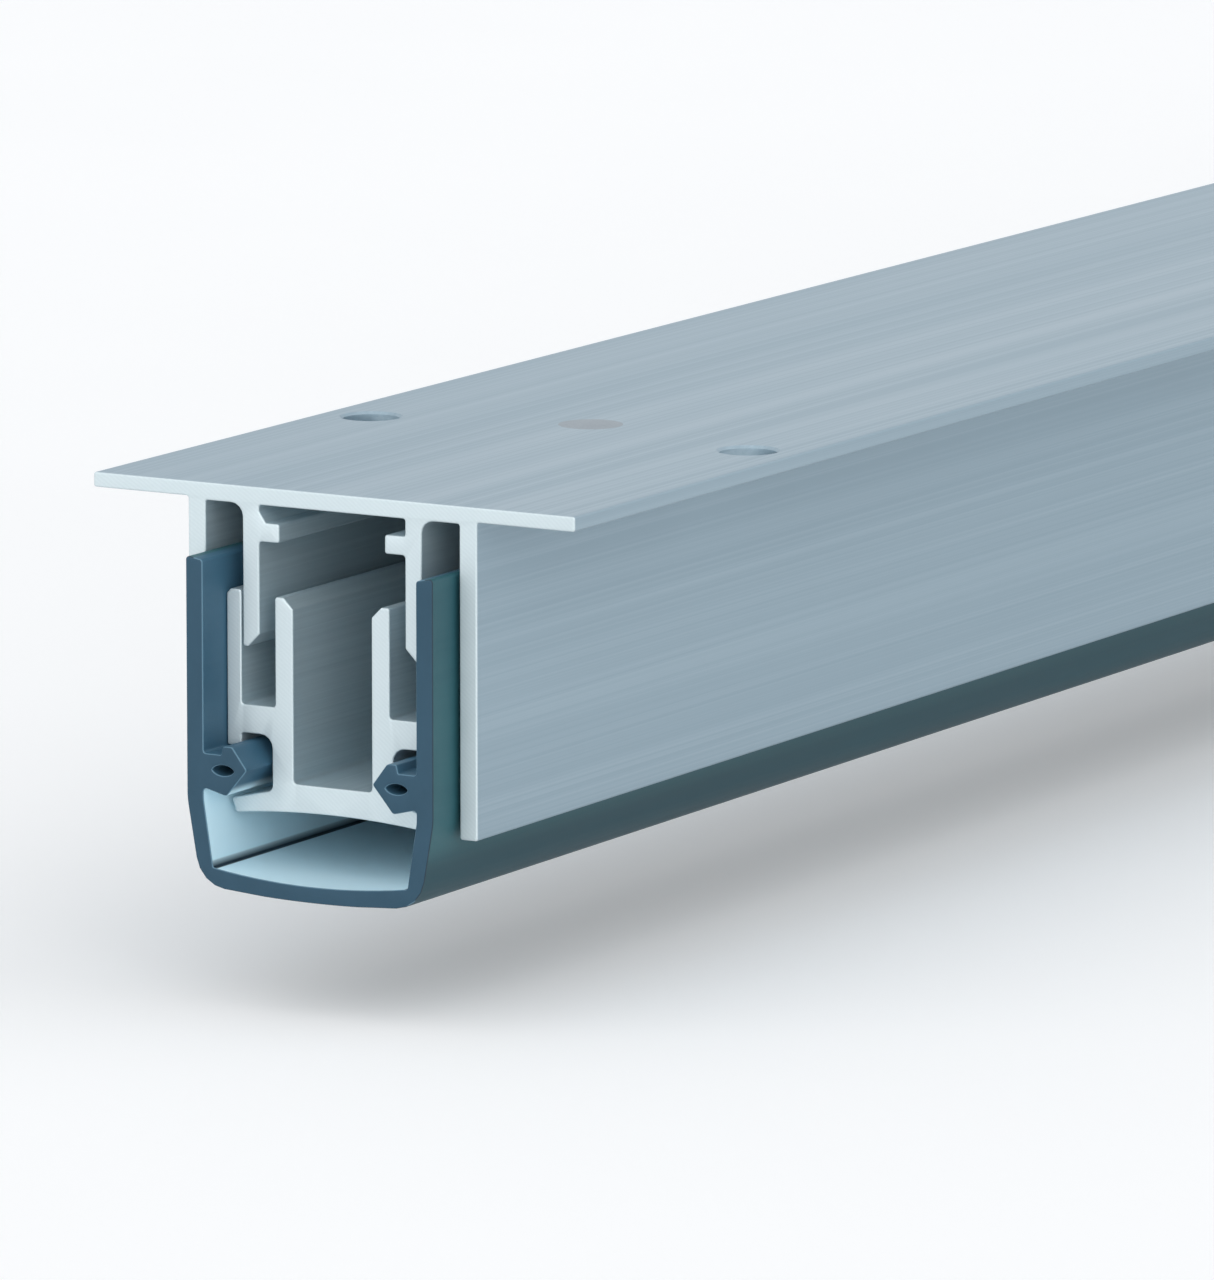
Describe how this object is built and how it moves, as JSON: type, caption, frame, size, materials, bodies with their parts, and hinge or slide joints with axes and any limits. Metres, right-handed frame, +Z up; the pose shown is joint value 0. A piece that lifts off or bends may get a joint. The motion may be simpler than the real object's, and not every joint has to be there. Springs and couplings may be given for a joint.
{
  "type": "automatic door bottom seal",
  "caption": "Automatic door bottom seal: flanged aluminium housing with a sliding rail, a U-shaped silicone lip, leaf springs and an adjustable trigger button.",
  "frame": {"origin": "centre of the flange's top face, which lies against the door leaf's bottom edge", "axes": "+Z up into the leaf, +Y along the seal towards the trigger, +X across the leaf"},
  "size_m": [0.025, 0.3515, 0.0182],
  "materials": {
    "mill_aluminium": "mill finish with fine draw lines along the extrusion",
    "seal_silicone": "satin blue-grey silicone",
    "zinc_steel": "bright zinc plated",
    "spring_steel": "tempered strip, faintly blued",
    "rivet_steel": "plain turned steel",
    "brass": "sawn and milled",
    "guide_nylon": "moulded, slightly translucent natural nylon",
    "button_nylon": "moulded, fine satin"
  },
  "bodies": {
    "housing": {"housing": "mill_aluminium", "anchor_block_1": "guide_nylon", "anchor_rivet_1": "rivet_steel", "leaf_spring_1": "spring_steel", "anchor_block_2": "guide_nylon", "anchor_rivet_2": "rivet_steel", "leaf_spring_2": "spring_steel", "trigger_guide": "guide_nylon", "guide_rivet": "rivet_steel"},
    "rail": {"carrier_rail": "mill_aluminium", "seal_lip": "seal_silicone", "shoe_pin_1": "rivet_steel", "shoe_pin_2": "rivet_steel"},
    "shoe_1": {"rail_shoe_1": "guide_nylon", "shoe_rivet_1": "rivet_steel"},
    "shoe_2": {"rail_shoe_2": "guide_nylon", "shoe_rivet_2": "rivet_steel"},
    "push_rod": {"push_rod": "zinc_steel", "slide_block_1": "guide_nylon", "slide_rivet_1": "rivet_steel", "slide_block_2": "guide_nylon", "slide_rivet_2": "rivet_steel", "drive_block": "brass", "drive_rivet": "rivet_steel"},
    "button": {"trigger_button": "button_nylon"},
    "spindle": {"adjusting_spindle": "zinc_steel"}
  },
  "joints": [
    {"name": "rail_drop", "type": "slide", "parent": "housing", "child": "rail", "axis": [0, 0, -1], "range_m": [-0.002, 0.005], "stiffness_N_per_m": 267.5, "springref_m": -0.002, "deforming": ["leaf_spring_1", "leaf_spring_2"]},
    {"name": "rod_push", "type": "slide", "parent": "housing", "child": "push_rod", "axis": [0, -1, 0], "range_m": [-0.0012, 0.003]},
    {"name": "shoe_1_glide", "type": "slide", "parent": "rail", "child": "shoe_1", "axis": [0, -1, 0], "range_m": [-0.0006, 0.0015]},
    {"name": "shoe_2_glide", "type": "slide", "parent": "rail", "child": "shoe_2", "axis": [0, -1, 0], "range_m": [-0.0006, 0.0015]},
    {"name": "trigger_adjust", "type": "slide", "parent": "push_rod", "child": "button", "axis": [0, 1, 0], "range_m": [-0.001, 0.003]},
    {"name": "spindle_turn", "type": "hinge", "parent": "button", "child": "spindle", "pos_m": [0, 0.17, -0.0052], "axis": [0, 1, 0], "range_deg": [-720, 2160]}
  ],
  "couplings": [
    {"joint": "rod_push", "follows": "rail_drop", "ratio": 0.6},
    {"joint": "shoe_1_glide", "follows": "rail_drop", "ratio": 0.3},
    {"joint": "shoe_2_glide", "follows": "rail_drop", "ratio": 0.3},
    {"joint": "spindle_turn", "follows": "trigger_adjust", "rad_per_m": 12566}
  ]
}
